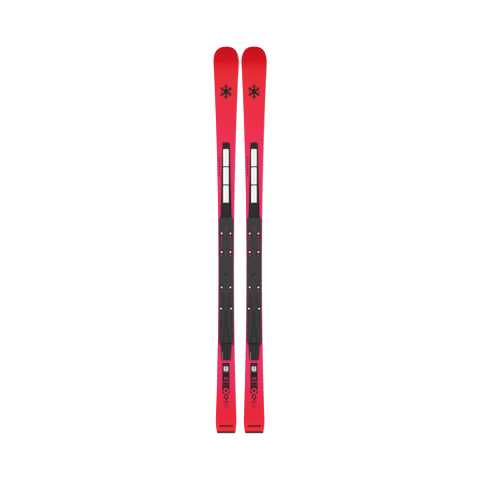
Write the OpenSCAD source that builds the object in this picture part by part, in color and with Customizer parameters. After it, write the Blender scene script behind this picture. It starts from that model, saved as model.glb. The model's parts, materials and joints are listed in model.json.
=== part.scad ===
// A pair of alpine race skis lying side by side, each with a damper unit and a floating binding plate.
// Millimetres. +Y points to the tips, +X across the pair, +Z up. The origin is on the snow, at the middle
// of the pair's length and halfway between the two skis.

/* [Ski] */
// Length along the snow from tail end to tip
ski_length = 1650; // [1600:5:1750]
// Width at the shovel, its widest line
shovel_w = 110; // [106:1:114]
// Width at the waist
waist_w = 68; // [67:0.5:70]
// How far the waist lies behind the middle of the length
waist_back = 121; // [100:1:140]
// How far the shovel's widest line lies behind the tip
shovel_back = 69; // [60:1:80]
// How far the tail's widest line lies ahead of the tail end
tail_ahead = 58; // [50:1:70]
// How much narrower each side is at the tail end than at the tail's widest line
tail_taper = 6.2; // [4:0.1:8]
// Thickness under the boot
mid_thick = 15.5; // [14:0.5:17]
// Thickness at the tip
tip_thick = 5.4; // [5.2:0.1:6]
// Thickness at the tail
tail_thick = 6; // [5.4:0.1:7]
// Height of the arch under the middle of the unloaded ski
camber = 5.5; // [3:0.5:8]
// Height of the tip's underside above the snow
tip_rise = 50; // [40:1:60]
// Height of the tail's underside above the snow
tail_rise = 4; // [2:0.5:8]
// Distance between the centre lines of the two skis
pair_pitch = 119.5; // [116:0.5:160]

/* [Laminate] */
// Thickness of the running base
base_t = 1.4; // [1.2:0.1:1.6]
// Width of a steel edge on the snow
edge_w = 2; // [1.8:0.1:2.4]
// Height of a steel edge
edge_h = 2; // [1.8:0.1:2.2]
// Reach of the edge's anchoring flange over the base
flange_reach = 5; // [4:0.5:7]
// Thickness of the rubber strip on the edge's flange
rubber_t = 0.3; // [0.2:0.05:0.4]
// Thickness of each metal sheet
metal_t = 0.6; // [0.4:0.1:0.8]
// Thickness of the printed topsheet
topsheet_t = 0.7; // [0.5:0.1:0.9]
// Width of a sidewall
sidewall_w = 7; // [5:0.5:9]

/* [Plate] */
// Length of the floating plate
plate_length = 536; // [520:1:545]
// Width of the floating plate
plate_w = 61.8; // [60:0.1:64]
// Thickness of the floating plate
plate_t = 6; // [6:0.1:7]
// How far the plate's front end lies ahead of the boot mark
plate_ahead = 248; // [246:1:250]
// Least thickness of the riser pad under the plate
pad_min = 3; // [2.5:0.1:4]
// How far the plate can slide each way from its centred place
plate_float = 2; // [1:0.5:2]
// Radius of a binding screw hole
binding_hole_r = 2.4; // [2:0.1:2.6]

/* [Damper] */
// Length of one shock module
module_length = 72.5; // [70:0.5:74]
// Width of one shock module
module_w = 23.7; // [22:0.1:26]
// Distance from one shock module to the next
module_pitch = 77.6; // [77:0.1:79]
// Height of the damper's nose above the topsheet
nose_h = 3.6; // [3.4:0.1:4.5]

/* [Hidden] */
SIDES = ["left", "right"];
PIECES = [
    "base", "steel_edges", "lower_glass", "edge_rubber", "lower_metal", "wood_core", "sidewalls",
    "tip_spacer", "tail_spacer", "upper_metal", "topsheet", "tail_protector",
    "damper_housing", "damper_front_cap", "damper_rear_cover",
    "shock_module_1", "shock_module_2", "shock_module_3", "module_springs", "trim_screws",
    "riser_pad", "slide_pad", "tail_ramp", "plate_deck", "plate_bushes", "plate_screws", "screw_inserts",
    "anchor_stud", "stop_ring", "centre_cap"
];
NODES = [for (side = SIDES, piece = PIECES) str(side, "_", piece)];
node = "all";
$fn = 48;

// Places along the ski
tip_y = ski_length / 2;
tail_y = -ski_length / 2;
protector_length = 7.5;
body_end_y = tail_y + protector_length;
shovel_y = tip_y - shovel_back;
tail_wide_y = tail_y + tail_ahead;
waist_y = -waist_back;
boot_y = waist_y - 31;
tip_contact_y = tip_y - 185;
tail_contact_y = tail_y + 50;
core_tip_y = shovel_y - 56;
core_tail_y = tail_wide_y + 7;

// Outline: one sidecut arc, a blend into the shovel, a rounded tip and a tapered tail
sidecut_depth = (shovel_w - waist_w) / 2;
sidecut_r = (pow(shovel_y - waist_y, 2) + pow(sidecut_depth, 2)) / (2 * sidecut_depth);
tip_roundness = 2.5;
tail_roundness = 2.2;

function sidecut(y) = waist_w / 2 + sidecut_r - sqrt(pow(sidecut_r, 2) - pow(y - waist_y, 2));
function tip_curve(u) = shovel_w / 2 * pow(max(1 - pow(u, tip_roundness), 0), 1 / tip_roundness);
function tail_curve(u) = sidecut(tail_wide_y) - tail_taper * pow(u, tail_roundness);
function outline_half(y) =
    y > shovel_y ? tip_curve(min((y - shovel_y) / shovel_back, 1))
    : y < tail_wide_y ? tail_curve((tail_wide_y - y) / tail_ahead)
    : sidecut(y);

// Underside: arched between the contact lines, turned up at the tip and a little at the tail
arch_mid_y = (tip_contact_y + tail_contact_y) / 2;
arch_half = (tip_contact_y - tail_contact_y) / 2;
function underside(y) =
    y > tip_contact_y ? tip_rise * pow((y - tip_contact_y) / (tip_y - tip_contact_y), 2.4)
    : y < tail_contact_y ? tail_rise * pow((tail_contact_y - y) / (tail_contact_y - tail_y), 2)
    : camber * pow(1 - pow((y - arch_mid_y) / arch_half, 2), 1.5);

// Thickness: full under the boot, thinning to the shovel and to the tail
function taper(s) = s >= 1 ? 0 : pow(cos(90 * s), 0.6);
function thickness(y) =
    y > boot_y ? tip_thick + (mid_thick - tip_thick) * taper((y - boot_y) / (shovel_y - boot_y))
    : tail_thick + (mid_thick - tail_thick) * taper((boot_y - y) / (boot_y - tail_wide_y));

// Every layer is drawn through the same stations, so that the layers meet face to face
function spread(from, to, steps) = [for (i = [0 : steps - 1]) from + (to - from) * i / steps];
tip_steps = 24;
STATIONS = concat(
    spread(tail_y, body_end_y, 1),
    spread(body_end_y, tail_wide_y, 6),
    spread(tail_wide_y, core_tail_y, 1),
    spread(core_tail_y, tip_contact_y, 32),
    spread(tip_contact_y, core_tip_y, 5),
    spread(core_tip_y, shovel_y, 7),
    [for (i = [0 : tip_steps]) shovel_y + shovel_back * sin(90 * i / tip_steps)]
);
HALF_WIDTHS = [for (y = STATIONS) [y, outline_half(y)]];
UNDERSIDES = [for (y = STATIONS) [y, underside(y)]];
TOPS = [for (y = STATIONS) [y, underside(y) + thickness(y)]];
function half_w(y) = lookup(y, HALF_WIDTHS);
function under_z(y) = lookup(y, UNDERSIDES);
function top_z(y) = lookup(y, TOPS);
function stations(from, to) = concat([from], [for (y = STATIONS) if (y > from + 0.01 && y < to - 0.01) y], [to]);
function reversed(list) = [for (i = [len(list) - 1 : -1 : 0]) list[i]];

// Heights of the layers above the underside, and below the top
rubber_top = edge_h + rubber_t;
core_floor = rubber_top + metal_t;
core_roof = metal_t + topsheet_t;
layer_gap = 0.3;
rim_y = tip_y - layer_gap;
flange_inset = edge_w + flange_reach;
core_inset = layer_gap + sidewall_w;
tall = 100;

// Plate, its screws and what they hold
plate_front_y = boot_y + plate_ahead;
plate_rear_y = plate_front_y - plate_length;
plate_z = top_z(boot_y) + pad_min;
plate_top = plate_z + plate_t;
plate_nose_r = 98;
pad_clear = 0.1;
ledge_z = plate_z + 3;
flange_t = 1.2;
head_h = 1.6;
head_z = ledge_z + pad_clear + flange_t;
head_r = 3.8;
bush_r = 4.3;
bush_flange_r = 6.7;
shank_r = 2.6;
insert_r = 4.5;
insert_depth = 11;
insert_proud = 0.2;
fit = 0.05;
// Each row of plate screws: distance ahead of the boot mark, half spacing, slot length, slot shift, and how
// much further the bush's flange reaches behind its screw
long_slot = 25;
short_slot = 2 * (bush_r + plate_float + 0.2);
SCREW_ROWS = [
    [178.5, 18.5, long_slot, -3.4, 3.8],
    [99.1, 18.5, long_slot, -3.4, 3.8],
    [-51.1, 18.5, short_slot, 0, 0],
    [-141.8, 21.9, short_slot, 0, 0]
];
slot_w = 2 * bush_r + 0.4;
counterbore_w = 2 * bush_flange_r + 0.6;
counterbore_margin = 2 * (bush_flange_r - bush_r);
SCREWS = [for (row = SCREW_ROWS, side = [-1, 1]) [side * row[1], boot_y + row[0]]];

// Binding screw holes: half spacing, then distances ahead of the boot mark
CENTRE_HOLES = [0, [204.5, 194.2, 93.1, 81.6]];
HOLE_PAIRS = [
    [19, [152.4, 140.9]],
    [20.6, [127.7, 116.6]],
    [14.2, [-66.5, -76.3]],
    [10.5, [-98.5, -108.9, -119.3, -129.7]],
    [21.2, concat([-129.7], [for (i = [0 : 6]) -162.1 - 10.3 * i])]
];
BINDING_HOLES = concat(
    [for (d = CENTRE_HOLES[1]) [0, boot_y + d]],
    [for (pair = HOLE_PAIRS, d = pair[1], side = [-1, 1]) [side * pair[0], boot_y + d]]
);

// Anchor in the middle of the plate: a stud with a rubber stop ring, in a wider bore
stud_r = 4;
anchor_bore_r = 8.2;
anchor_r = anchor_bore_r - plate_float - 0.1;
anchor_bore_h = 3.4;
cap_r = 9;
cap_h = 1.2;
cap_recess_h = 1.4;

// Damper: its nose, its windows and where it runs under the plate
nose_y = boot_y + 568;
first_module_y = nose_y - 29;
module_arch_r = 40;
module_gap = 0.15;
module_sink = 0.6;
cap_y = first_module_y + 4.5;
cap_floor_h = 1.6;
cover_front_y = first_module_y - 3 * module_pitch + 1;
cover_rear_y = plate_front_y + 6;
cover_t = 2.2;
cover_half_w = 14.2;
nose_half_w = 15.9;
nose_corner = 4.5;
heel_half_w = 24;
flare_y = plate_front_y - 3;
tongue_y = plate_front_y - 30;
tongue_gap = 0.4;
bevel_angle = 30;
housing_rise = 7.8;
housing_top_nose = top_z(nose_y) + nose_h;
function housing_top(y) = housing_top_nose + housing_rise * (nose_y - y) / (nose_y - flare_y);
housing_pitch = atan(housing_rise / (nose_y - flare_y));

// Tail ramp behind the plate
ramp_front_y = plate_rear_y + 13;
ramp_rear_y = plate_rear_y - 74;
ramp_front_half_w = 24;
ramp_rear_half_w = 20;
ramp_corner = 5;
ramp_end_h = 2.2;
ramp_gap = 0.6;
pad_front_y = tongue_y - 4;
pad_rear_y = boot_y - 71.4;
pad_half_w = 28;
slide_pad_front_y = pad_rear_y - 1;
slide_pad_rear_y = ramp_front_y + 3;
slide_pad_left = 26;
slide_pad_right = 21.4;

// Small screws under the covers
trim_head_r = 2.8;
trim_head_h = 1;
trim_shank_r = 1.5;
trim_depth = 7;
NOSE_SCREW = [0, nose_y - 12];
COVER_SCREWS = [[0, cover_rear_y + 14], [0, cover_rear_y + 40]];
RAMP_SCREWS = [for (side = [-1, 1]) [side * 12, plate_rear_y + 8]];
TRIM_SCREWS = concat([NOSE_SCREW], COVER_SCREWS, RAMP_SCREWS);
function trim_seat_z(p) =
    p == NOSE_SCREW ? top_z(p[1]) + cap_floor_h + 0.2
    : p[1] > boot_y ? housing_top(p[1]) - cover_t - trim_head_h - 0.5
    : plate_z - ramp_gap - trim_head_h - 0.4;

// A solid between two heights, each a function of y, seen from the side
module side_band(from, to, low, high) {
    ys = stations(from, to);
    points = concat([for (y = ys) [y, low(y)]], [for (y = reversed(ys)) [y, high(y)]]);
    rotate([90, 0, 90])
        linear_extrude(height = 2 * tall, center = true)
            polygon(points);
}

// The ski's plan, set in from its outline
module plan(inset, from, to) {
    right = [for (y = stations(from, to)) [max(half_w(y) - inset, 0), y]];
    left = [for (p = reversed(right)) if (p[0] > 0) [-p[0], p[1]]];
    linear_extrude(height = tall)
        polygon(concat(right, left));
}

// A pair of strips along both sides, between two insets
module side_strips(outer, inner, from, to) {
    ys = stations(from, to);
    for (side = [-1, 1])
        linear_extrude(height = tall)
            polygon(concat(
                [for (y = ys) [side * (half_w(y) - outer), y]],
                [for (y = reversed(ys)) [side * (half_w(y) - inner), y]]
            ));
}

module layer(inset, from, to, low, high) {
    intersection() {
        plan(inset, from, to);
        side_band(from, to, low, high);
    }
}

module strips(outer, inner, from, to, low, high) {
    intersection() {
        side_strips(outer, inner, from, to);
        side_band(from, to, low, high);
    }
}

// Height functions measured from the underside and from the top
function above(h) = function(y) under_z(y) + h;
function below(h) = function(y) top_z(y) - h;

module drill(points, r, from, to) {
    for (p = points)
        translate([p[0], p[1], from])
            cylinder(r = r, h = to - from);
}

// Every hole that goes down into the ski
module ski_holes() {
    for (p = concat(SCREWS, [[0, boot_y]]))
        drill([p], insert_r + fit, top_z(p[1]) - insert_depth - fit, tall);
    for (p = TRIM_SCREWS)
        drill([p], trim_shank_r + fit, top_z(p[1]) - trim_depth - fit, tall);
}

module slot(width, length, height) {
    straight = length - width;
    for (end = [-1, 1])
        translate([0, end * straight / 2, 0])
            cylinder(d = width, h = height);
    translate([-width / 2, -straight / 2, 0])
        cube([width, straight, height]);
}

// Ski body
module base() {
    color("#26262b") {
        layer(edge_w, body_end_y, shovel_y, above(0), above(base_t));
        layer(0, shovel_y, tip_y, above(0), above(base_t));
    }
}

module steel_edges() {
    color("#b8bcc2") {
        strips(0, edge_w, body_end_y, shovel_y, above(0), above(edge_h));
        strips(edge_w, flange_inset, body_end_y, shovel_y, above(base_t), above(edge_h));
    }
}

module lower_glass() {
    color("#d8d6b8") {
        layer(flange_inset, body_end_y, shovel_y, above(base_t), above(rubber_top));
        layer(layer_gap, shovel_y, rim_y, above(base_t), above(rubber_top));
    }
}

module edge_rubber() {
    color("#303030")
        strips(layer_gap, flange_inset, body_end_y, shovel_y, above(edge_h), above(rubber_top));
}

module lower_metal() {
    color("#c4c8cc")
        layer(layer_gap, body_end_y, rim_y, above(rubber_top), above(core_floor));
}

module wood_core() {
    color("#d9b77c")
        difference() {
            layer(core_inset, core_tail_y, core_tip_y, above(core_floor), below(core_roof));
            ski_holes();
        }
}

module sidewalls() {
    color("#1d1d20")
        strips(layer_gap, core_inset, core_tail_y, core_tip_y, above(core_floor), below(core_roof));
}

module tip_spacer() {
    color("#1d1d20")
        layer(layer_gap, core_tip_y, rim_y, above(core_floor), below(core_roof));
}

module tail_spacer() {
    color("#1d1d20")
        layer(layer_gap, body_end_y, core_tail_y, above(core_floor), below(core_roof));
}

module upper_metal() {
    color("#c4c8cc")
        difference() {
            layer(layer_gap, body_end_y, rim_y, below(core_roof), below(topsheet_t));
            ski_holes();
        }
}

module topsheet() {
    color("#e8305c")
        difference() {
            layer(layer_gap, body_end_y, rim_y, below(topsheet_t), below(0));
            ski_holes();
        }
}

module tail_protector() {
    color("#0c0c0e")
        layer(layer_gap, tail_y, body_end_y, above(layer_gap), below(-0.5));
}

// Drop of the arched front ends, at a distance x from the centre line
function arch_drop(x) = module_arch_r - sqrt(pow(module_arch_r, 2) - x * x);

// Plan of the damper unit: a narrow nose, a widening body and a flare out to the plate's width
module damper_plan() {
    c = nose_corner;
    front_half_w = nose_half_w - c;
    shoulder_y = nose_y - arch_drop(front_half_w) - c;
    flare = plate_w / 2 - heel_half_w;
    right = concat(
        [[plate_w / 2, tongue_y]],
        [for (a = [0 : 15 : 90]) [
            heel_half_w + flare * (1 - sin(a)),
            flare_y + flare * (1 - cos(a))
        ]],
        [for (a = [0 : 15 : 75]) [front_half_w + c * cos(a), shoulder_y + c * sin(a)]],
        [for (i = [6 : -1 : 1]) let (x = front_half_w * i / 6) [x, nose_y - arch_drop(x)]],
        [[0, nose_y]]
    );
    linear_extrude(height = tall)
        polygon(concat(right, [for (p = reversed(right)) if (p[0] > 0) [-p[0], p[1]]]));
}

// Plan of one window, its ends arched towards the tip
module window(index, gap) {
    half = module_w / 2 - gap;
    front = first_module_y - index * module_pitch - gap;
    rear = front - module_length + 2 * gap;
    xs = [for (i = [-6 : 6]) half * i / 6];
    linear_extrude(height = tall)
        polygon(concat(
            [for (x = xs) [x, front - arch_drop(x)]],
            [for (x = reversed(xs)) [x, rear - arch_drop(x)]]
        ));
}

module side_bevels() {
    for (side = [0, 1])
        mirror([side, 0, 0])
            translate([cover_half_w + 1, nose_y, housing_top_nose])
                rotate([-housing_pitch, 0, 0])
                    rotate([0, bevel_angle, 0])
                        translate([-1, -nose_y - tall, 0])
                            cube([tall, nose_y + 2 * tall, tall]);
}

module damper_cover_plan(gap) {
    translate([-cover_half_w + gap, cover_rear_y + gap, 0])
        cube([2 * (cover_half_w - gap), cover_front_y - cover_rear_y - 2 * gap, tall]);
}

module damper_housing() {
    color("#2b2c2b")
        difference() {
            intersection() {
                damper_plan();
                side_band(tongue_y, nose_y, below(0), function(y) housing_top(y));
            }
            side_bevels();
            translate([0, plate_front_y - plate_nose_r, plate_z - tongue_gap])
                cylinder(r = plate_nose_r + plate_float + tongue_gap, h = tall, $fn = 96);
            side_band(cap_y, nose_y + 1, below(-cap_floor_h), below(-tall));
            intersection() {
                damper_cover_plan(0);
                side_band(cover_rear_y, cover_front_y, function(y) housing_top(y) - cover_t, below(-tall));
            }
            for (i = [0 : 2])
                window(i, 0);
            drill(concat([NOSE_SCREW], COVER_SCREWS), trim_shank_r + fit, 0, tall);
            for (p = COVER_SCREWS)
                drill([p], trim_head_r + 0.2, trim_seat_z(p), tall);
        }
}

module damper_front_cap() {
    color("#2b2c2b")
        difference() {
            intersection() {
                damper_plan();
                side_band(cap_y + module_gap, nose_y, below(-cap_floor_h), function(y) housing_top(y));
            }
            side_bevels();
            drill([NOSE_SCREW], trim_head_r + 0.2, 0, trim_seat_z(NOSE_SCREW) + trim_head_h + 0.2);
        }
}

module damper_rear_cover() {
    color("#333433")
        intersection() {
            damper_cover_plan(0.1);
            side_band(cover_rear_y, cover_front_y, function(y) housing_top(y) - cover_t, function(y) housing_top(y));
        }
}

// Shock modules: an elastomer block over a wave spring
spring_half_w = 2.5;
spring_t = 0.6;
spring_wave = 0.8;
spring_length = 60;
function spring_mid_y(index) = first_module_y - index * module_pitch - module_length / 2 - 1;

module spring_space(index) {
    y = spring_mid_y(index);
    half = spring_length / 2 + 1;
    intersection() {
        translate([-spring_half_w - 0.2, y - half, 0])
            cube([2 * spring_half_w + 0.4, 2 * half, tall]);
        side_band(y - half, y + half, below(1), below(-2 * spring_wave - spring_t - 0.2));
    }
}

module shock_module(index) {
    front = first_module_y - index * module_pitch;
    color("#f4f4f2")
        difference() {
            intersection() {
                window(index, module_gap);
                side_band(front - module_length - 5, front, below(0), function(y) housing_top(y) - module_sink);
            }
            spring_space(index);
        }
}

module module_springs() {
    color("#b8bcc2")
        for (index = [0 : 2]) {
            y = spring_mid_y(index);
            waves = 5;
            steps = waves * 12;
            ys = [for (i = [0 : steps]) y + spring_length * (i / steps - 0.5)];
            wave = function(v) top_z(v) + 0.05 + spring_wave * (1 - cos(360 * waves * (v - ys[0]) / spring_length));
            rotate([90, 0, 90])
                linear_extrude(height = 2 * spring_half_w, center = true)
                    polygon(concat([for (v = ys) [v, wave(v)]], [for (v = reversed(ys)) [v, wave(v) + spring_t]]));
        }
}

module trim_screws() {
    color("#9a9da3")
        for (p = TRIM_SCREWS) {
            seat = trim_seat_z(p);
            translate([p[0], p[1], seat])
                cylinder(r = trim_head_r, h = trim_head_h);
            drill([p], trim_shank_r, top_z(p[1]) - trim_depth, seat + 0.5);
        }
}

// Riser pad: bonded to the ski, with a flat top that the plate slides on
module riser_pad() {
    color("#d62663")
        difference() {
            intersection() {
                translate([-pad_half_w, pad_rear_y, 0])
                    cube([2 * pad_half_w, pad_front_y - pad_rear_y, plate_z - pad_clear]);
                side_band(pad_rear_y, pad_front_y, below(0), below(-tall));
            }
            drill(SCREWS, insert_r + 0.2, 0, tall);
            drill([[0, boot_y]], insert_r + 0.2, 0, tall);
        }
}

// Slide pad: a low-friction strip under the rear half of the plate
module slide_pad() {
    color("#181819")
        difference() {
            intersection() {
                translate([-slide_pad_left, slide_pad_rear_y, 0])
                    cube([
                        slide_pad_left + slide_pad_right,
                        slide_pad_front_y - slide_pad_rear_y,
                        plate_z - pad_clear
                    ]);
                side_band(slide_pad_rear_y, slide_pad_front_y, below(0), below(-tall));
            }
            drill(SCREWS, insert_r + 0.2, 0, tall);
        }
}

module tail_ramp() {
    c = ramp_corner;
    right = concat(
        [for (a = [-90 : 15 : 0]) [ramp_rear_half_w - c + c * cos(a), ramp_rear_y + c + c * sin(a)]],
        [[ramp_front_half_w, plate_rear_y], [ramp_front_half_w, ramp_front_y]]
    );
    roof = plate_z - ramp_gap;
    rear_top = top_z(ramp_rear_y) + ramp_end_h;
    function ramp_top(y) = min(roof, rear_top + (roof - rear_top) * (y - ramp_rear_y) / (plate_rear_y - ramp_rear_y));
    color("#333333")
        difference() {
            intersection() {
                linear_extrude(height = tall)
                    polygon(concat(right, [for (p = reversed(right)) [-p[0], p[1]]]));
                union() {
                    side_band(ramp_rear_y, plate_rear_y, below(0), function(y) ramp_top(y));
                    side_band(plate_rear_y, ramp_front_y, below(0), function(y) roof);
                }
            }
            drill(RAMP_SCREWS, trim_shank_r + fit, 0, tall);
            for (p = RAMP_SCREWS)
                drill([p], trim_head_r + 0.2, trim_seat_z(p), tall);
        }
}

// Floating plate: flat deck with slots for its screws and rows of binding holes
module plate_plan() {
    half = plate_w / 2;
    c = 4;
    nose = asin(half / plate_nose_r);
    linear_extrude(height = plate_t)
        polygon(concat(
            [for (i = [-8 : 8]) let (a = nose * i / 8)
                [plate_nose_r * sin(a), plate_front_y + plate_nose_r * (cos(a) - 1)]],
            [for (a = [0 : 15 : 90]) [half - c + c * cos(a), plate_rear_y + c - c * sin(a)]],
            [for (a = [90 : 15 : 180]) [c - half + c * cos(a), plate_rear_y + c - c * sin(a)]]
        ));
}

scallop_r = 300;
scallop_depth = 0.9;
scallop_y = boot_y + 36;

// Wishbone groove in the deck's rear half: a stem that splits into two legs
relief_depth = 0.7;
stem_half_w = 7.3;
stem_front_y = boot_y - 152;
fork_y = boot_y - 208;
leg_w = 7.5;
leg_rear_x = 13;

module wishbone() {
    outer = leg_rear_x + leg_w / 2;
    inner = leg_rear_x - leg_w / 2;
    right = [
        [stem_half_w - 2, stem_front_y],
        [stem_half_w, stem_front_y - 2],
        [stem_half_w, fork_y],
        [outer, plate_rear_y - 1],
        [inner, plate_rear_y - 1],
        [0.5, fork_y - 10]
    ];
    linear_extrude(height = tall)
        polygon(concat(right, [for (p = reversed(right)) [-p[0], p[1]]]));
}

module plate_deck() {
    color("#3d3d3d")
        difference() {
            translate([0, 0, plate_z])
                plate_plan();
            for (row = SCREW_ROWS, side = [-1, 1])
                translate([side * row[1], boot_y + row[0] + row[3], 0]) {
                    translate([0, 0, plate_z - 1])
                        slot(slot_w, row[2], tall);
                    translate([0, 0, ledge_z])
                        slot(counterbore_w, row[2] + counterbore_margin, tall);
                }
            drill(BINDING_HOLES, binding_hole_r, plate_z - 1, plate_top + 1);
            drill([[0, boot_y]], anchor_bore_r, plate_z - 1, plate_z + anchor_bore_h);
            drill([[0, boot_y]], cap_r, plate_top - cap_recess_h, plate_top + 1);
            for (side = [-1, 1])
                translate([side * (plate_w / 2 + scallop_r - scallop_depth), scallop_y, plate_z + plate_t / 2])
                    cylinder(r = scallop_r, h = plate_t, $fn = 96);
            translate([0, 0, plate_top - relief_depth])
                wishbone();
        }
}

module plate_bushes() {
    color("#141414")
        for (row = SCREW_ROWS, side = [-1, 1]) {
            p = [side * row[1], boot_y + row[0]];
            reach = row[4];
            difference() {
                union() {
                    drill([p], bush_flange_r, ledge_z + pad_clear, head_z);
                    drill([p], bush_r, top_z(p[1]) + insert_proud, ledge_z + 0.5);
                    if (reach > 0)
                        translate([p[0], p[1] - reach / 2, ledge_z + pad_clear])
                            slot(2 * bush_flange_r, 2 * bush_flange_r + reach, flange_t);
                }
                drill([p], shank_r + fit, 0, tall);
            }
        }
}

module plate_screws() {
    color("#e2e4e8")
        for (p = SCREWS)
            difference() {
                union() {
                    translate([p[0], p[1], head_z])
                        cylinder(r = head_r, h = head_h - 0.6);
                    translate([p[0], p[1], head_z + head_h - 0.6])
                        cylinder(r1 = head_r, r2 = head_r - 0.8, h = 0.6);
                    drill([p], shank_r, top_z(p[1]) - insert_depth + 2, head_z + 0.5);
                }
                for (turn = [0, 90])
                    translate([p[0], p[1], head_z + head_h])
                        rotate([0, 0, turn])
                            cube([1.2 * head_r, 1.1, 2.2], center = true);
            }
}

module screw_inserts() {
    color("#a8884a")
        for (p = SCREWS)
            difference() {
                drill([p], insert_r, top_z(p[1]) - insert_depth, top_z(p[1]) + insert_proud);
                drill([p], shank_r + fit, top_z(p[1]) - insert_depth + 1, tall);
            }
}

// Anchor: a stud in the ski, and the rubber stop ring that limits how far the plate floats
module anchor_stud() {
    color("#b8bcc2") {
        drill([[0, boot_y]], insert_r, top_z(boot_y) - insert_depth, top_z(boot_y) + insert_proud);
        drill([[0, boot_y]], stud_r, top_z(boot_y), plate_z + anchor_bore_h - 0.3);
    }
}

module stop_ring() {
    color("#202020")
        difference() {
            drill([[0, boot_y]], anchor_r, plate_z - pad_clear, plate_z + anchor_bore_h - 0.3);
            drill([[0, boot_y]], stud_r + fit, 0, plate_z + anchor_bore_h + 1);
        }
}

module centre_cap() {
    dish_h = 0.5;
    dish_r = cap_r - 1.5;
    color("#353535")
        translate([0, boot_y, plate_top - cap_recess_h])
            difference() {
                cylinder(r = cap_r - fit, h = cap_h);
                translate([0, 0, cap_h - dish_h])
                    cylinder(r1 = dish_r - dish_h, r2 = dish_r + dish_h, h = 2 * dish_h);
            }
}

function is_on(side, piece) = node == "all" || node == str(side, "_", piece);

for (side = SIDES)
    translate([(side == "left" ? -1 : 1) * pair_pitch / 2, 0, 0]) {
        if (is_on(side, "base")) base();
        if (is_on(side, "steel_edges")) steel_edges();
        if (is_on(side, "lower_glass")) lower_glass();
        if (is_on(side, "edge_rubber")) edge_rubber();
        if (is_on(side, "lower_metal")) lower_metal();
        if (is_on(side, "wood_core")) wood_core();
        if (is_on(side, "sidewalls")) sidewalls();
        if (is_on(side, "tip_spacer")) tip_spacer();
        if (is_on(side, "tail_spacer")) tail_spacer();
        if (is_on(side, "upper_metal")) upper_metal();
        if (is_on(side, "topsheet")) topsheet();
        if (is_on(side, "tail_protector")) tail_protector();
        if (is_on(side, "damper_housing")) damper_housing();
        if (is_on(side, "damper_front_cap")) damper_front_cap();
        if (is_on(side, "damper_rear_cover")) damper_rear_cover();
        for (i = [0 : 2])
            if (is_on(side, str("shock_module_", i + 1))) shock_module(i);
        if (is_on(side, "module_springs")) module_springs();
        if (is_on(side, "trim_screws")) trim_screws();
        if (is_on(side, "riser_pad")) riser_pad();
        if (is_on(side, "slide_pad")) slide_pad();
        if (is_on(side, "tail_ramp")) tail_ramp();
        if (is_on(side, "plate_deck")) plate_deck();
        if (is_on(side, "plate_bushes")) plate_bushes();
        if (is_on(side, "plate_screws")) plate_screws();
        if (is_on(side, "screw_inserts")) screw_inserts();
        if (is_on(side, "anchor_stud")) anchor_stud();
        if (is_on(side, "stop_ring")) stop_ring();
        if (is_on(side, "centre_cap")) centre_cap();
    }
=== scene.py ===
import json
import math

import bmesh
import bpy
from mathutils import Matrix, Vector
from mathutils.bvhtree import BVHTree


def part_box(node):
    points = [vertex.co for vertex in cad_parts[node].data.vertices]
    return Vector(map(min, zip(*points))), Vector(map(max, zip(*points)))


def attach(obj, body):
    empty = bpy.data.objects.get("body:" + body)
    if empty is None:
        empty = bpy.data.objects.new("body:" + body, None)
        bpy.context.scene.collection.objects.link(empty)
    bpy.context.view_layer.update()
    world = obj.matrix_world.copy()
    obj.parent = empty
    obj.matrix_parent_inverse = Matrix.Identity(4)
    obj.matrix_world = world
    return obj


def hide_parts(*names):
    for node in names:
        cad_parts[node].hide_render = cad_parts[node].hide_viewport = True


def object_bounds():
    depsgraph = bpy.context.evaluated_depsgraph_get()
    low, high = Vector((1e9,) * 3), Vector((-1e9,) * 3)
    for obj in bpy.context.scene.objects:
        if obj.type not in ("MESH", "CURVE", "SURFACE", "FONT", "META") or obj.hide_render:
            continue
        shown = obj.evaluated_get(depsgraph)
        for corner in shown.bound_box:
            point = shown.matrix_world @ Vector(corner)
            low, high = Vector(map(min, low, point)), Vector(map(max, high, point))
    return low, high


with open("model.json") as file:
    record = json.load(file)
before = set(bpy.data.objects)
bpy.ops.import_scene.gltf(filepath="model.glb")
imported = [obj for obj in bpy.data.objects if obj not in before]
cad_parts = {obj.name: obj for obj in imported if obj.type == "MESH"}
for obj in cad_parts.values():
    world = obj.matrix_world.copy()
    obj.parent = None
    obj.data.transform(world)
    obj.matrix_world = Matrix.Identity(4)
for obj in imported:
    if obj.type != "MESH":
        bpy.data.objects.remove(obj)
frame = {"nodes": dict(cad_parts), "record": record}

cad_low, cad_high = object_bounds()
nodes = frame["nodes"]
MM = 0.001
SIDES = ("left", "right")


# ---------------------------------------------------------------- shader building

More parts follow.
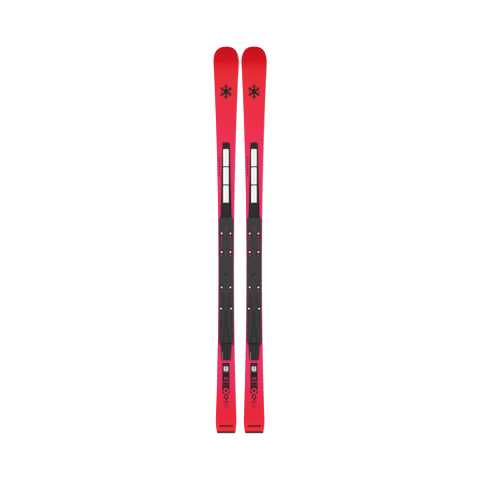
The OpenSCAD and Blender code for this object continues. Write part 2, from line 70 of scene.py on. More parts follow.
class Finish:
    """A Principled material whose colour, roughness and relief come from procedural nodes."""

    def __init__(self, name, colour, roughness, metallic=0.0, specular=0.5):
        self.material = bpy.data.materials.new(name)
        self.material.use_nodes = True
        self.nodes = self.material.node_tree.nodes
        self.links = self.material.node_tree.links
        self.nodes.clear()
        self.output = self.nodes.new("ShaderNodeOutputMaterial")
        self.shader = self.nodes.new("ShaderNodeBsdfPrincipled")
        self.links.new(self.shader.outputs["BSDF"], self.output.inputs["Surface"])
        self.shader.inputs["Base Color"].default_value = (*colour, 1.0)
        self.shader.inputs["Roughness"].default_value = roughness
        self.shader.inputs["Metallic"].default_value = metallic
        self.shader.inputs["Specular IOR Level"].default_value = specular
        self.coordinates = self.nodes.new("ShaderNodeTexCoord").outputs["Object"]
        self.height = None

    def stretched(self, scale):
        """Object coordinates, scaled by a different amount along each axis."""
        node = self.nodes.new("ShaderNodeMapping")
        node.inputs["Scale"].default_value = scale
        self.links.new(self.coordinates, node.inputs["Vector"])
        return node.outputs["Vector"]

    def noise(self, scale, stretch=(1, 1, 1), detail=4.0, rough=0.55):
        node = self.nodes.new("ShaderNodeTexNoise")
        node.inputs["Scale"].default_value = scale
        node.inputs["Detail"].default_value = detail
        node.inputs["Roughness"].default_value = rough
        self.links.new(self.stretched(stretch), node.inputs["Vector"])
        return node.outputs["Fac"]

    def ranged(self, value, low, high, to_low=0.0, to_high=1.0, smooth=False):
        node = self.nodes.new("ShaderNodeMapRange")
        node.interpolation_type = "SMOOTHSTEP" if smooth else "LINEAR"
        node.inputs["From Min"].default_value = low
        node.inputs["From Max"].default_value = high
        node.inputs["To Min"].default_value = to_low
        node.inputs["To Max"].default_value = to_high
        self.links.new(value, node.inputs["Value"])
        return node.outputs["Result"]

    def maths(self, operation, a, b):
        node = self.nodes.new("ShaderNodeMath")
        node.operation = operation
        for socket, value in zip(node.inputs, (a, b)):
            if isinstance(value, (int, float)):
                socket.default_value = value
            else:
                self.links.new(value, socket)
        return node.outputs["Value"]

    def axis(self, name):
        node = self.nodes.new("ShaderNodeSeparateXYZ")
        self.links.new(self.coordinates, node.inputs["Vector"])
        return node.outputs[name]

    def ramp(self, value, stops):
        """A colour looked up from stops, each a position from 0 to 1 and a colour."""
        node = self.nodes.new("ShaderNodeValToRGB")
        elements = node.color_ramp.elements
        while len(elements) > 1:
            elements.remove(elements[-1])
        elements[0].position, elements[0].color = stops[0][0], (*stops[0][1], 1.0)
        for position, colour in stops[1:]:
            elements.new(position).color = (*colour, 1.0)
        self.links.new(value, node.inputs["Fac"])
        return node.outputs["Color"]

    def mix(self, factor, a, b, blend="MIX"):
        """A mix of two colours, each a socket or three numbers."""
        node = self.nodes.new("ShaderNodeMix")
        node.data_type = "RGBA"
        node.blend_type = blend
        for socket, value in ((node.inputs[0], factor), (node.inputs[6], a), (node.inputs[7], b)):
            if isinstance(value, (int, float)):
                socket.default_value = value
            elif isinstance(value, tuple):
                socket.default_value = (*value, 1.0)
            else:
                self.links.new(value, socket)
        return node.outputs[2]

    def colour(self, socket):
        self.links.new(socket, self.shader.inputs["Base Color"])
        return self

    def roughness(self, socket):
        self.links.new(socket, self.shader.inputs["Roughness"])
        return self

    def relief(self, value, depth, strength=1.0):
        """Adds a layer of bump, depth in metres."""
        node = self.nodes.new("ShaderNodeBump")
        node.inputs["Distance"].default_value = depth
        node.inputs["Strength"].default_value = strength
        self.links.new(value, node.inputs["Height"])
        if self.height:
            self.links.new(self.height, node.inputs["Normal"])
        self.height = node.outputs["Normal"]
        self.links.new(self.height, self.shader.inputs["Normal"])
        return self

    def set(self, **values):
        for name, value in values.items():
            self.shader.inputs[name.replace("_", " ").title()].default_value = value
        return self


def srgb(r, g, b):
    """Linear colour of a display colour given in 0 to 255."""
    def linear(v):
        v /= 255
        return v / 12.92 if v <= 0.04045 else ((v + 0.055) / 1.055) ** 2.4
    return linear(r), linear(g), linear(b)


# Painted shade in the deck's grooves and holes, where shade falls: the depths where it is full and where
# it ends, in metres, and its strength
GROOVE_PAINTED_SHADE = (0.0006, 0.0004, 0.66)
HOLE_PAINTED_SHADE = (0.0018, 0.0009, 0.2)
# Painted shade towards the deck's rear: the y where it is full and where it ends, and its strength
REAR_PAINTED_SHADE = (-0.42, -0.20, 0.86)


def deck_painted_shade(f, top):
    """Factor of painted shade that darkens the deck's grooves and holes below its top, and its rear end a
    little.
    """
    height = f.axis("Z")
    shades = []
    for full, end, strength in (GROOVE_PAINTED_SHADE, HOLE_PAINTED_SHADE):
        shades.append(f.ranged(height, top - full, top - end, strength, 1.0))
    full, end, strength = REAR_PAINTED_SHADE
    shades.append(f.ranged(f.axis("Y"), full, end, strength, 1.0))
    return f.maths("MULTIPLY", f.maths("MULTIPLY", shades[0], shades[1]), shades[2])


def moulded(name, colour, roughness=0.55, grain=900, depth=0.00006, specular=0.4, top=None):
    """Moulded plastic: a fine spark-eroded grain, a trace of flow marks and small rubbed places.
    The deck's top height, if given, adds painted shade in its grooves and holes and towards its rear."""
    f = Finish(name, colour, roughness, specular=specular)
    flow = f.ranged(f.noise(30, stretch=(1, 0.35, 1), detail=2), 0.3, 0.7)
    pits = f.ranged(f.noise(grain * 1.7, detail=2), 0.35, 0.65)
    body = f.mix(flow, tuple(c * 0.95 for c in colour), tuple(c * 1.05 for c in colour))
    body = f.mix(pits, body, tuple(c * 1.12 + 0.001 for c in colour))
    if top is not None:
        # Painted shade: darker in the deck's grooves and holes, and towards its rear
        body = f.mix(1.0, body, deck_painted_shade(f, top), blend="MULTIPLY")
    f.colour(body)
    f.roughness(f.ranged(f.noise(160, detail=5), 0.3, 0.7, roughness - 0.06, roughness + 0.08))
    f.relief(f.noise(grain, detail=3, rough=0.6), depth)
    f.relief(f.noise(grain * 0.3, detail=2), depth * 0.5)
    return f.material


def metal(name, colour, roughness, stretch, scale=400, depth=0.00002, shine=1.0):
    """Ground, rolled or drawn metal, scratched along one axis. White plating shines less."""
    f = Finish(name, colour, roughness, metallic=shine)
    lines = f.noise(scale, stretch=stretch, detail=6, rough=0.7)
    cloud = f.noise(60, detail=3)
    f.colour(f.mix(f.ranged(cloud, 0.3, 0.7), tuple(c * 0.86 for c in colour), colour))
    f.roughness(f.ranged(lines, 0.3, 0.7, roughness * 0.75, roughness * 1.35))
    f.relief(lines, depth)
    return f.material


# ---------------------------------------------------------------- materials

TIP, TAIL = cad_high.y, cad_low.y
DECK_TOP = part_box("left_plate_deck")[1].z

# The print's colour along the ski, as y in metres and colour: red at the tail, magenta under the boot,
# red again, and a darker red at the tip, which is painted shade of the upturned tip
PRINT_AND_TIP_SHADE = [
    (-0.825, (0.67, 0.013, 0.029)),
    (-0.765, (0.67, 0.012, 0.030)),
    (-0.722, (0.65, 0.012, 0.037)),
    (-0.680, (0.65, 0.013, 0.052)),
    (-0.637, (0.65, 0.016, 0.070)),
    (-0.594, (0.65, 0.019, 0.084)),
    (-0.530, (0.66, 0.020, 0.101)),
    (-0.300, (0.67, 0.020, 0.106)),
    (0.200, (0.67, 0.020, 0.104)),
    (0.275, (0.68, 0.020, 0.101)),
    (0.385, (0.67, 0.020, 0.078)),
    (0.440, (0.67, 0.018, 0.067)),
    (0.480, (0.665, 0.017, 0.055)),
    (0.560, (0.66, 0.016, 0.039)),
    (0.694, (0.665, 0.016, 0.0275)),
    # From here on the red darkens towards the tip: painted shade of the upturned tip
    (0.720, (0.65, 0.015, 0.0260)),
    (0.745, (0.63, 0.008, 0.016)),
    (0.757, (0.625, 0.0022, 0.0098)),
    (0.785, (0.60, 0.0015, 0.0072)),
    (0.825, (0.58, 0.0013, 0.0068)),
]


def topsheet_finish():
    """Printed polyamide: a long colour fade, darker at the upturned tip as painted shade, a fine
    cross-brushed grain and a satin lacquer.
    """
    f = Finish("topsheet_print", PRINT_AND_TIP_SHADE[0][1], 0.36, specular=0.1)
    along = f.ranged(f.axis("Y"), TAIL, TIP)
    stops = [((y - TAIL) / (TIP - TAIL), colour) for y, colour in PRINT_AND_TIP_SHADE]
    fade = f.ramp(along, stops)
    cloud = f.ranged(f.noise(9, stretch=(3, 1, 1), detail=2), 0.3, 0.7)
    tinted = f.mix(cloud, (0.955, 0.955, 0.955), (1.0, 1.0, 1.0))
    fade = f.mix(1.0, fade, tinted, blend="MULTIPLY")
    fleck = f.ranged(f.noise(1500, detail=2), 0.62, 0.72, 0.0, 0.06)
    f.colour(f.mix(fleck, fade, (0.9, 0.35, 0.4)))
    streaks = f.noise(160, stretch=(1, 0.04, 1), detail=5, rough=0.7)
    f.roughness(f.ranged(streaks, 0.3, 0.7, 0.32, 0.42))
    f.relief(f.noise(2200, detail=2), 0.000012)
    f.relief(streaks, 0.000008)
    f.set(coat_weight=0.02, coat_roughness=0.16)
    return f.material


def base_finish():
    """Sintered running base: black with faint graphite specks, and stone-ground along the ski."""
    f = Finish("base_sheet", (0.02, 0.02, 0.023), 0.34, specular=0.5)
    speck = f.ranged(f.noise(2600, detail=2), 0.62, 0.7)
    f.colour(f.mix(speck, (0.014, 0.014, 0.017), (0.055, 0.055, 0.062)))
    grind = f.noise(1400, stretch=(1, 0.02, 1), detail=4, rough=0.65)
    f.roughness(f.ranged(grind, 0.3, 0.7, 0.26, 0.46))
    f.relief(grind, 0.00003)
    f.relief(f.noise(500, stretch=(1, 0.06, 1), detail=3), 0.00002)
    return f.material


def sidewall_finish():
    """Black phenolic sidewall: milled lengthways, with faint cutter marks."""
    f = Finish("sidewall", (0.018, 0.018, 0.02), 0.45, specular=0.45)
    marks = f.noise(900, stretch=(1, 0.03, 2), detail=4)
    f.colour(f.mix(f.ranged(marks, 0.3, 0.7), (0.013, 0.013, 0.015), (0.027, 0.027, 0.03)))
    f.roughness(f.ranged(marks, 0.3, 0.7, 0.36, 0.55))
    f.relief(marks, 0.00003)
    return f.material


# The greyer band of a shock module over its spring, partly the spring seen through and partly painted
# shade in the
# channel there: its middle and half width from the ski's centre line, how far its edge fades in and out,
# and its shade
BAND_MID, BAND_HALF = 0.0004, 0.0042
BAND_FADE_IN, BAND_FADE_OUT = 0.0012, 0.0008
BAND_PAINTED_SHADE = 0.82
# Painted shade along a shock module's right flank, the side away from the light: where it starts and
# where it is full, and its strength
SHADED_FLANK_START, SHADED_FLANK_FULL = 0.0090, 0.0112
FLANK_PAINTED_SHADE = 0.22


def elastomer_finish(name, colour, band=0.0):
    """White translucent elastomer: milky, with a greyer band over the spring, partly painted shade in its
    channel, and painted shade along its right flank.
    """
    f = Finish(name, colour, 0.45, specular=0.2)
    away = f.maths("ABSOLUTE", f.maths("SUBTRACT", f.axis("X"), BAND_MID), 0.0)
    # Greyer band over the spring: partly the spring seen through, partly painted shade in its channel
    near = f.ranged(away, BAND_HALF - BAND_FADE_IN, BAND_HALF + BAND_FADE_OUT, band, 0.0, smooth=True)
    cloud = f.ranged(f.noise(150, detail=3), 0.3, 0.7, 0.0, 0.5)
    milky = f.mix(cloud, colour, tuple(c * 0.975 for c in colour))
    banded = f.mix(near, milky, tuple(c * BAND_PAINTED_SHADE for c in colour))
    # Painted shade along the right flank, the side away from the light
    flank_painted_shade = f.ranged(f.axis("X"), SHADED_FLANK_START, SHADED_FLANK_FULL, 1.0, FLANK_PAINTED_SHADE, smooth=True)
    f.colour(f.mix(1.0, banded, flank_painted_shade, blend="MULTIPLY"))
    f.roughness(f.ranged(f.noise(300, detail=4), 0.3, 0.7, 0.38, 0.52))
    f.relief(f.noise(1200, detail=2), 0.00002)
    f.set(subsurface_weight=0.1, subsurface_scale=0.002)
    return f.material


def wood_finish():
    """Core wood: glued strips of two kinds, with grain along the ski."""
    f = Finish("core_wood", (0.6, 0.42, 0.22), 0.6, specular=0.3)
    grain = f.noise(120, stretch=(1, 0.03, 1), detail=7, rough=0.7)
    f.colour(f.ramp(grain, [(0.3, (0.36, 0.22, 0.10)), (0.7, (0.66, 0.48, 0.27))]))
    f.relief(grain, 0.00004)
    return f.material


def pad_finish():
    """Magenta elastomer of the riser pad, matt, with painted light: it glows so that it reads bright in
    the holes.
    """
    f = Finish("riser_elastomer", (0.70, 0.03, 0.15), 0.55, specular=0.3)
    cloud = f.ranged(f.noise(70, detail=3), 0.3, 0.7)
    f.colour(f.mix(cloud, (0.44, 0.016, 0.095), (0.50, 0.020, 0.115)))
    # Painted light: the pad glows though it is no lamp, to light the bottoms of the deck's holes
    f.set(emission_color=(0.36, 0.014, 0.075, 1.0), emission_strength=1.0)
    f.roughness(f.ranged(f.noise(200, detail=4), 0.3, 0.7, 0.48, 0.66))
    f.relief(f.noise(1100, detail=2), 0.00003)
    return f.material


def ink(name, colour, roughness=0.4):
    """Screen-printed ink: slightly uneven in tone, with a fine grain."""
    f = Finish(name, colour, roughness, specular=0.1)
    cloud = f.ranged(f.noise(180, detail=3), 0.3, 0.7)
    dark = tuple(c * 0.88 for c in colour)
    pale = tuple(min(1, c * 1.12 + 0.001) for c in colour)
    f.colour(f.mix(cloud, dark, pale))
    f.roughness(f.ranged(f.noise(500, detail=3), 0.3, 0.7, roughness - 0.06, roughness + 0.08))
    f.relief(f.noise(1800, detail=2), 0.00001)
    return f.material


MATERIALS = {
    "topsheet_print": topsheet_finish(),
    "base_sheet": base_finish(),
    "edge_steel": metal("edge_steel", (0.56, 0.57, 0.59), 0.3, (1, 0.02, 1), scale=900),
    "glass_laminate": moulded("glass_laminate", (0.5, 0.47, 0.33), 0.45),
    "damping_rubber": moulded("damping_rubber", (0.02, 0.02, 0.02), 0.75),
    "metal_sheet": metal("metal_sheet", (0.62, 0.63, 0.65), 0.35, (1, 0.03, 1)),
    "core_wood": wood_finish(),
    "sidewall": sidewall_finish(),
    "protector": moulded("protector", (0.001, 0.0016, 0.0014), 0.55, specular=0.03),
    "housing_plastic": moulded("housing_plastic", srgb(29, 31, 30), 0.55, specular=0.09),
    "cover_plastic": moulded("cover_plastic", srgb(30, 32, 31), 0.5, specular=0.1),
    "white_elastomer": elastomer_finish("white_elastomer", (0.78, 0.775, 0.775), band=1.0),
    "spring_steel": metal("spring_steel", (0.6, 0.61, 0.63), 0.28, (1, 0.05, 1)),
    "trim_screw_steel": metal("trim_screw_steel", (0.16, 0.16, 0.17), 0.4, (1, 1, 1)),
    "riser_elastomer": pad_finish(),
    "slide_plastic": moulded("slide_plastic", (0.012, 0.012, 0.012), 0.4),
    "ramp_rubber": moulded("ramp_rubber", srgb(37, 37, 37), 0.6, specular=0.12),
    # The deck's top brings painted shade into its grooves and holes and towards its rear
    "deck_plastic": moulded("deck_plastic", srgb(47, 47, 47), 0.58, specular=0.13, top=DECK_TOP),
    "bush_plastic": moulded("bush_plastic", (0.002, 0.002, 0.002), 0.45, specular=0.04),
    "screw_steel": metal("screw_steel", (0.95, 0.96, 0.97), 0.3, (1, 1, 1), scale=700, shine=0.45),
    "insert_brass": metal("insert_brass", (0.75, 0.55, 0.26), 0.3, (1, 1, 0.2)),
    "stud_steel": metal("stud_steel", (0.56, 0.57, 0.59), 0.3, (1, 1, 0.2)),
    "stop_rubber": moulded("stop_rubber", (0.015, 0.015, 0.015), 0.8),
    "cap_plastic": moulded("cap_plastic", srgb(30, 30, 30), 0.32, specular=0.27),
}
# A whiter copy of the elastomer for the modules' rims: painted highlight
RIM_HIGHLIGHT_WHITE = elastomer_finish("white_elastomer_rim_highlight", (0.95, 0.95, 0.945))
BLACK_INK = ink("black_ink", srgb(20, 25, 24))
WHITE_INK = ink("white_ink", srgb(188, 190, 188))
GREY_INK = ink("grey_ink", srgb(84, 84, 86))
PALE_GREY_INK = ink("pale_grey_ink", srgb(140, 142, 142))
RED_INK = ink("red_ink", srgb(222, 40, 82))
MUTED_RED_INK = ink("muted_red_ink", srgb(176, 36, 74))
DULL_RED_INK = ink("dull_red_ink", srgb(116, 26, 48))
DARK_RED_INK = ink("dark_red_ink", srgb(104, 22, 38))
DEEP_RED_INK = ink("deep_red_ink", srgb(156, 26, 48))


# ---------------------------------------------------------------- CAD nodes that stay

# Edge rounding of each node with visible corners, in millimetres
ROUNDING = {
    "tail_protector": 0.5, "damper_housing": 0.45, "damper_front_cap": 0.45, "damper_rear_cover": 0.4,
    "riser_pad": 0.4, "slide_pad": 0.3, "tail_ramp": 0.6, "plate_deck": 0.4, "plate_bushes": 0.15,
    "plate_screws": 0.12, "centre_cap": 0.15,
}


# Smallest angles in degrees: of an edge that stays sharp in a CAD node, of one that is rounded,
# and of one that stays sharp in a new piece
SMOOTH_ANGLE = 30
BEVEL_ANGLE = 25
SHARP_ANGLE = 40
# Vertices of an imported node that lie closer than this are one, in metres
WELD_DISTANCE = 0.000002


def smooth_group():
    """Node group that shades a mesh smoothly, except across its sharper edges."""
    group = bpy.data.node_groups.new("smooth_by_angle", "GeometryNodeTree")
    group.interface.new_socket("Geometry", in_out="INPUT", socket_type="NodeSocketGeometry")
    group.interface.new_socket("Geometry", in_out="OUTPUT", socket_type="NodeSocketGeometry")
    make = group.nodes.new
    start, end = make("NodeGroupInput"), make("NodeGroupOutput")
    angle, sharper = make("GeometryNodeInputMeshEdgeAngle"), make("FunctionNodeCompare")
    normals = make("GeometryNodeSetMeshNormal")
    sharper.operation = "GREATER_THAN"
    sharper.inputs[1].default_value = math.radians(SMOOTH_ANGLE)
    normals.mode = "SHARPNESS"
    link = group.links.new
    link(start.outputs[0], normals.inputs["Mesh"])
    link(angle.outputs["Unsigned Angle"], sharper.inputs[0])
    link(sharper.outputs[0], normals.inputs["Edge Sharpness"])
    normals.inputs["Remove Custom"].default_value = True
    link(normals.outputs["Mesh"], end.inputs[0])
    return group


SMOOTH = smooth_group()


def soften(thing, width):
    """Joins an imported node's faces, rounds its edges and shades its bends smoothly, as modifiers."""
    weld = thing.modifiers.new("weld", "WELD")
    weld.merge_threshold = WELD_DISTANCE
    if width:
        bevel = thing.modifiers.new("bevel", "BEVEL")
        bevel.width = width * MM
        bevel.segments = 2
        bevel.limit_method = "ANGLE"
        bevel.angle_limit = math.radians(BEVEL_ANGLE)
        bevel.use_clamp_overlap = True
        bevel.miter_outer = "MITER_ARC"
    smooth = thing.modifiers.new("smooth", "NODES")
    smooth.node_group = SMOOTH
    if width:
        normals = thing.modifiers.new("normals", "WEIGHTED_NORMAL")
        normals.keep_sharp = True


slot_of = {row["node"]: row["material_slot"] for row in frame["record"]["subparts"]}
for name, thing in nodes.items():
    thing.data.materials.clear()
    thing.data.materials.append(MATERIALS[slot_of[name]])
    soften(thing, ROUNDING.get(name.split("_", 1)[1], 0))


# ---------------------------------------------------------------- pieces laid on the skis

def middle(side):
    """The x of a ski's centre line."""
    low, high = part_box(side + "_topsheet")
    return (low.x + high.x) / 2


class Ground:
    """Height of a CAD node's top, given a place measured from its ski's centre line, in metres."""

    def __init__(self, side, piece):
        mesh = nodes[f"{side}_{piece}"].data
        corners = [v.co for v in mesh.vertices]
        self.tree = BVHTree.FromPolygons(corners, [p.vertices for p in mesh.polygons])
        self.middle = middle(side)

    def __call__(self, x, y):
        hit = self.tree.ray_cast(Vector((self.middle + x, y, 1)), Vector((0, 0, -1)))[0]
        return hit.z


def place(name, mesh, replaced=None, body="ski"):
    """One copy of a mesh on each ski, riding on that ski or on its plate."""
    for side in SIDES:
        thing = bpy.data.objects.new(f"{side}_{name}", mesh)
        thing.location.x = middle(side)
        bpy.context.scene.collection.objects.link(thing)
        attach(thing, f"{side}_{body}")
        if replaced:
            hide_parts(f"{side}_{replaced}")


def solid(name, points, faces, materials, picks=None):
    """A smoothly shaded mesh. Picks holds each face's material number."""
    mesh = bpy.data.meshes.new(name)
    mesh.from_pydata(points, [], faces)
    for material in materials:
        mesh.materials.append(material)
    if picks:
        mesh.polygons.foreach_set("material_index", picks)
    mesh.polygons.foreach_set("use_smooth", [True] * len(faces))
    mesh.set_sharp_from_angle(angle=math.radians(SHARP_ANGLE))
    mesh.update()
    return mesh


def closed(top, bottom, faces):
    """Faces of a solid between two copies of one sheet, the second copy below the first."""
    n = len(top)
    edges = {(f[i - 1], f[i]) for f in faces for i in range(len(f))}
    walls = [[b, a, a + n, b + n] for a, b in sorted(edges) if (b, a) not in edges]
    return top + bottom, faces + [[i + n for i in reversed(f)] for f in faces] + walls


# Ink films, in millimetres: the length between cross cuts, the rise of each level, and the depth sunk in
FILM_STEP = 4
FILM_RISE = 0.08
FILM_SINK = 0.12


def film(name, shapes, ink_material, ground, level=1):
    """A thin closed layer of ink over flat shapes, given in millimetres and laid on the ground."""
    flat = bmesh.new()
    for shape in shapes:
        flat.faces.new([flat.verts.new((x, y, 0)) for x, y in shape])
    bmesh.ops.remove_doubles(flat, verts=flat.verts, dist=0.01)
    for face in flat.faces:
        face.normal_update()
        if face.normal.z < 0:
            face.normal_flip()
    bmesh.ops.triangulate(flat, faces=flat.faces)
    low = min(v.co.y for v in flat.verts)
    high = max(v.co.y for v in flat.verts)
    for i in range(1, math.ceil((high - low) / FILM_STEP)):
        everything = flat.verts[:] + flat.edges[:] + flat.faces[:]
        cut = (0, low + i * FILM_STEP, 0)
        bmesh.ops.bisect_plane(flat, geom=everything, plane_co=cut, plane_no=(0, 1, 0))
    flat.verts.index_update()
    top, bottom = [], []
    for v in flat.verts:
        x, y = v.co.x * MM, v.co.y * MM
        z = ground(x, y)
        top.append((x, y, z + FILM_RISE * level * MM))
        bottom.append((x, y, z - FILM_SINK * MM))
    points, faces = closed(top, bottom, [[v.index for v in f.verts] for f in flat.faces])
    flat.free()
    place(name, solid(name, points, faces, [ink_material]))


def block(x, y, width, length, lean=0.0):
    """An upright rectangle round a middle point, its front end shifted sideways by lean."""
    w, h = width / 2, length / 2
    return [(x - w, y - h), (x + w, y - h), (x + w + lean, y + h), (x - w + lean, y + h)]


def rounded(x, y, width, length, corner, steps=5):
    """A rectangle with round corners."""
    points = []
    for k, (sx, sy) in enumerate(((1, 1), (-1, 1), (-1, -1), (1, -1))):
        cx, cy = x + sx * (width / 2 - corner), y + sy * (length / 2 - corner)
        for i in range(steps + 1):
            a = math.radians(90 * (k + i / steps))
            points.append((cx + corner * math.cos(a), cy + corner * math.sin(a)))
    return points


def disc(x, y, r, steps=24):
    """A filled circle."""
    turns = [math.tau * i / steps for i in range(steps)]
    return [(x + r * math.cos(a), y + r * math.sin(a)) for a in turns]


def band(outer, inner):
    """The space between two outlines with the same number of points, as four-sided shapes."""
    n = len(outer)
    return [[outer[i], outer[(i + 1) % n], inner[(i + 1) % n], inner[i]] for i in range(n)]


def ring(x, y, r, line, steps=36):
    """A circle drawn with a line that lies inside its radius."""
    return band(disc(x, y, r, steps), disc(x, y, r - line, steps))


def frame_of(x, y, width, length, corner, line):
    """A rectangle with round corners, drawn with a line that lies inside it."""
    inner = rounded(x, y, width - 2 * line, length - 2 * line, corner - line)
    return band(rounded(x, y, width, length, corner), inner)


# One arm of the snow crystal, from the notch beside it to its tip: distance out and half width
CRYSTAL_ARM = [
    (10.4, 6.0), (13.5, 3.5), (17, 3.5), (21.5, 11.0), (25.6, 8.6), (22.4, 3.5), (30, 3.5), (34.3, 0),
]


def crystal(x, y, squeeze):
    """A six-armed snow crystal, as one outline."""
    arm = [(out, -aside) for out, aside in CRYSTAL_ARM]
    arm += [(out, aside) for out, aside in CRYSTAL_ARM[-2:0:-1]]
    points = []
    for k in range(6):
        a = math.radians(60 * k + 90)
        for out, aside in arm:
            px = out * math.cos(a) - aside * math.sin(a)
            py = out * math.sin(a) + aside * math.cos(a)
            points.append((x + squeeze * px, y + py))
    return points


def prints():
    """Generic prints, in millimetres from each ski's centre line and from the middle of its length."""
    sheet = Ground("left", "topsheet")
    film("tip_crystal", [crystal(0, 632, 0.86)], BLACK_INK, sheet)
    dots = [disc(-28.7, 348 - 12.1 * i, 3.2) for i in range(7)]
    film("side_dots", dots, BLACK_INK, sheet)

    # The dark panel behind the plate, and what is printed on it
    film("tail_panel", [rounded(-0.4, -590.5, 31, 131, 1.6)], BLACK_INK, sheet)
    film("tail_label", [rounded(-0.3, -550.6, 18.4, 20, 0.8)], WHITE_INK, sheet, level=2)
    mark = frame_of(-0.3, -549, 7.0, 7.5, 2.2, 1.7) + [disc(-0.3, -549, 1.1)]
    film("label_mark", mark, GREY_INK, sheet, level=3)
    lines = [block(-0.3, y, 13.5, 1.1) for y in (-543, -556.6)]
    film("label_lines", lines, PALE_GREY_INK, sheet, level=3)
    lines = [block(0.6, -533.6, 19, 3.0), block(0.6, -566.2, 17, 2.6)]
    film("panel_lines", lines, DULL_RED_INK, sheet, level=2)
    bars = [block(x, -591.5, 5.6, 10.5) for x in (-4.6, 5.4)]
    film("panel_bars", bars, MUTED_RED_INK, sheet, level=2)
    dashes = [block(-11 + 4.4 * i, -606.5, 3.0, 5.0, lean=0.6) for i in range(6)]
    film("panel_dashes", dashes, MUTED_RED_INK, sheet, level=2)
    faint = [block(-11 + 4.4 * i, -618, 3.2, 3.6, lean=0.5) for i in range(6)]
    faint += [block(-8 + 4.0 * i, -626.5, 2.8, 2.4) for i in range(5)]
    film("panel_faint_dashes", faint, DULL_RED_INK, sheet, level=2)
    film("panel_ring", ring(0, -643.6, 11, 4.6), RED_INK, sheet, level=2)

    # Behind the panel
    film("lower_ring", ring(0, -669.5, 10.6, 5.2), BLACK_INK, sheet)
    film("lower_stem", [block(1.4, -683.6, 5.4, 8.0, lean=1.4)], BLACK_INK, sheet)
    bar = [block(-9.0 + 6.0 * i, -692.6, 4.9, 6.6, lean=0.8) for i in range(4)]
    film("lower_bar", bar, DARK_RED_INK, sheet)
    film("lower_emblem", frame_of(0, -709.5, 19, 15, 4.5, 3.4), DEEP_RED_INK, sheet)
    bars = [block(-24.6 + 9.6 * i, -794.6, 7.8, 9.4, lean=2.4) for i in range(6)]
    film("tail_bars", bars, BLACK_INK, sheet)

    ramp = Ground("left", "tail_ramp")
    marks = [block(-15.2, -480.5 - 3.4 * i, 2.0, 2.5) for i in range(10)]
    film("ramp_marks", marks, PALE_GREY_INK, ramp)


# A shock module's top: distance in from its edge, and drop below its highest level
MODULE_PROFILE = [
    (0, 0.9), (0.12, 0.45), (0.35, 0.15), (0.75, 0.02), (1.0, 0),
    (1.9, 0), (2.25, 0.15), (2.6, 0.5), (3.1, 0.62),
]
# Even steps of a module's mesh between its rims, across and along
STEPS_ACROSS, STEPS_ALONG = 18, 32
# Radius of a module's arched ends, in metres
MODULE_ARCH_R = 0.040
# Width of the whiter rim, a painted highlight, in millimetres
RIM_WIDTH = 2.3
# The channel over the spring, in millimetres: its depth, its start from each end, and its fade
CHANNEL_DEPTH = 0.35
CHANNEL_START = 3.4
CHANNEL_FADE = 2.5


def module_arch(x):
    """How far a module's end falls back at a distance x from its middle."""
    return MODULE_ARCH_R - math.sqrt(MODULE_ARCH_R ** 2 - x * x)


def module_drop(inset):
    """How far a module's top lies below its highest level, at a distance in from its edge."""
    for (a, high), (b, low) in zip(MODULE_PROFILE, MODULE_PROFILE[1:]):
        if inset <= b:
            return high + (low - high) * (inset - a) / (b - a)
    return MODULE_PROFILE[-1][1]


def spaced(length, rim, steps):
    """Places across a length: the rim's steps at both ends, and even steps between them."""
    inner = rim[-1]
    between = [inner + (length - 2 * inner) * i / steps for i in range(1, steps)]
    return rim + between + [length - r for r in reversed(rim)]


def shock_module(index):
    """A cast block with a rolled rim round a sunk field, and a shallow channel over its spring."""
    piece = f"shock_module_{index}"
    low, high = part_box("left_" + piece)
    half = (high.x - low.x) / 2
    front = high.y
    length = front - module_arch(half) - low.y
    cad_top, sheet = Ground("left", piece), Ground("left", "topsheet")
    ends = front - 0.2 * length, front - 0.8 * length
    z_front, z_rear = cad_top(0, ends[0]), cad_top(0, ends[1])
    rim = [inset * MM for inset, _ in MODULE_PROFILE]
    across = spaced(2 * half, rim, STEPS_ACROSS)
    along = spaced(length, rim, STEPS_ALONG)
    top, bottom, faces, picks = [], [], [], []
    for v in along:
        for u in across:
            x, y = u - half, front - v - module_arch(u - half)
            z = z_front + (z_rear - z_front) * (y - ends[0]) / (ends[1] - ends[0])
            inset = min(u, 2 * half - u, v, length - v)
            from_end = min(v, length - v) / MM
            channel = max(0.0, 1 - ((x - BAND_MID) / BAND_HALF) ** 2)
            channel *= min(1.0, max(0.0, (from_end - CHANNEL_START) / CHANNEL_FADE))
            top.append((x, y, z - (module_drop(inset / MM) + CHANNEL_DEPTH * channel) * MM))
            bottom.append((x, y, sheet(x, y)))
    count = len(across)
    for j in range(len(along) - 1):
        for i in range(count - 1):
            a = j * count + i
            faces.append([a, a + count, a + count + 1, a + 1])
            u, v = (across[i] + across[i + 1]) / 2, (along[j] + along[j + 1]) / 2
            picks.append(1 if min(u, 2 * half - u, v, length - v) < RIM_WIDTH * MM else 0)
    points, faces = closed(top, bottom, faces)
    picks += [1] * (len(faces) - len(picks))
    # The rim, the sides and the bottom take the whiter copy, a painted highlight on the rim
    mesh = solid(piece, points, faces, [MATERIALS["white_elastomer"], RIM_HIGHLIGHT_WHITE], picks)
    place(f"cast_module_{index}", mesh, replaced=piece)


# The round cap's section, from its middle to its rim and down its side: radius, and drop below its top
CAP_SECTION = [
    (0, 1.18), (1.8, 1.18), (3.4, 1.12), (4.4, 0.98), (5.4, 0.7), (6.5, 0.32),
    (7.3, 0.1), (7.7, 0.04), (8.86, 0.04), (8.93, 0.1), (8.93, 1.25),
]
CAP_STEPS = 64


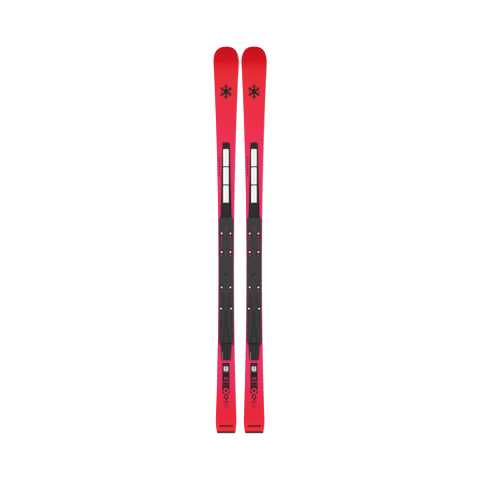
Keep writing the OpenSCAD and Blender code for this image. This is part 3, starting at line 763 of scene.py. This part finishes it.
def dished_cap():
    """The boot mark in the deck: a turned cap with a dished middle."""
    low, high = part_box("left_centre_cap")
    y = (low.y + high.y) / 2
    steps = CAP_STEPS
    points = [(0, y, high.z - CAP_SECTION[0][1] * MM)]
    for r, drop in CAP_SECTION[1:]:
        for k in range(steps):
            a = math.tau * k / steps
            points.append((r * MM * math.cos(a), y + r * MM * math.sin(a), high.z - drop * MM))
    faces = [[0, 1 + k, 1 + (k + 1) % steps] for k in range(steps)]
    for i in range(len(CAP_SECTION) - 2):
        for k in range(steps):
            a, b = 1 + i * steps + k, 1 + i * steps + (k + 1) % steps
            faces.append([a, a + steps, b + steps, b])
    last = 1 + (len(CAP_SECTION) - 2) * steps
    faces.append([last + k for k in reversed(range(steps))])
    mesh = solid("dished_cap", points, faces, [MATERIALS["cap_plastic"]])
    place("dished_cap", mesh, replaced="centre_cap", body="plate")


prints()
dished_cap()
for index in (1, 2, 3):
    shock_module(index)


# ---------------------------------------------------------------- stage

# Half the floor's side, and how far it lies below the skis, in metres
FLOOR_HALF = 9.0
FLOOR_DROP = 0.0003


def floor():
    """A plain white floor, which glows a little so that the shadows stay faint."""
    mesh = bpy.data.meshes.new("floor")
    half = FLOOR_HALF
    corners = [(-half, -half, 0), (half, -half, 0), (half, half, 0), (-half, half, 0)]
    mesh.from_pydata(corners, [], [(0, 1, 2, 3)])
    thing = bpy.data.objects.new("floor", mesh)
    thing.location.z = -FLOOR_DROP
    bpy.context.scene.collection.objects.link(thing)
    f = Finish("floor", (0.95, 0.95, 0.95), 0.9, specular=0.1)
    f.set(emission_color=(1.0, 1.0, 1.0, 1.0), emission_strength=0.5)
    mesh.materials.append(f.material)


def sun(name, strength, tilt, turn, spread):
    """A wide sun: tilt is its angle from straight above, turn the side it stands on, from +X to +Y."""
    light = bpy.data.lights.new(name, "SUN")
    light.energy = strength
    light.angle = math.radians(spread)
    thing = bpy.data.objects.new(name, light)
    a, t = math.radians(turn), math.radians(tilt)
    towards = Vector((math.cos(a) * math.sin(t), math.sin(a) * math.sin(t), math.cos(t)))
    thing.rotation_mode = "QUATERNION"
    thing.rotation_quaternion = towards.to_track_quat("Z", "Y")
    bpy.context.scene.collection.objects.link(thing)


# Brightness of the surround, at the horizon and straight above
SKY_LOW, SKY_HIGH = 0.30, 0.55


def sky():
    """A pale studio surround, a little darker towards the horizon."""
    world = bpy.data.worlds.new("studio")
    bpy.context.scene.world = world
    world.use_nodes = True
    tree = world.node_tree
    direction = tree.nodes.new("ShaderNodeTexCoord").outputs["Generated"]
    split = tree.nodes.new("ShaderNodeSeparateXYZ")
    ramp = tree.nodes.new("ShaderNodeValToRGB")
    for end, position, level in zip(ramp.color_ramp.elements, (0.0, 1.0), (SKY_LOW, SKY_HIGH)):
        end.position = position
        end.color = (level, level, level, 1)
    tree.links.new(direction, split.inputs[0])
    tree.links.new(split.outputs["Z"], ramp.inputs["Fac"])
    tree.links.new(ramp.outputs["Color"], tree.nodes["Background"].inputs["Color"])


# The camera: lens and sensor in millimetres, width of the view and place in metres
LENS = 1200
SENSOR_WIDTH = 36
VIEW_WIDTH = 2.0478
CAMERA_X, CAMERA_Y = -0.0002, -0.0010
CLIP_END = 200


def camera():
    """Straight above, tips up, with a long lens."""
    data = bpy.data.cameras.new("camera")
    data.lens = LENS
    data.sensor_width = SENSOR_WIDTH
    data.clip_end = CLIP_END
    thing = bpy.data.objects.new("camera", data)
    thing.location = (CAMERA_X, CAMERA_Y, VIEW_WIDTH * data.lens / data.sensor_width)
    bpy.context.scene.collection.objects.link(thing)
    bpy.context.scene.camera = thing


camera()
floor()
sky()
sun("key", 2.6, tilt=40, turn=108, spread=18)
sun("fill_left", 0.45, tilt=50, turn=200, spread=60)
sun("fill_right", 0.45, tilt=50, turn=340, spread=60)
bpy.context.scene.view_settings.view_transform = "Standard"
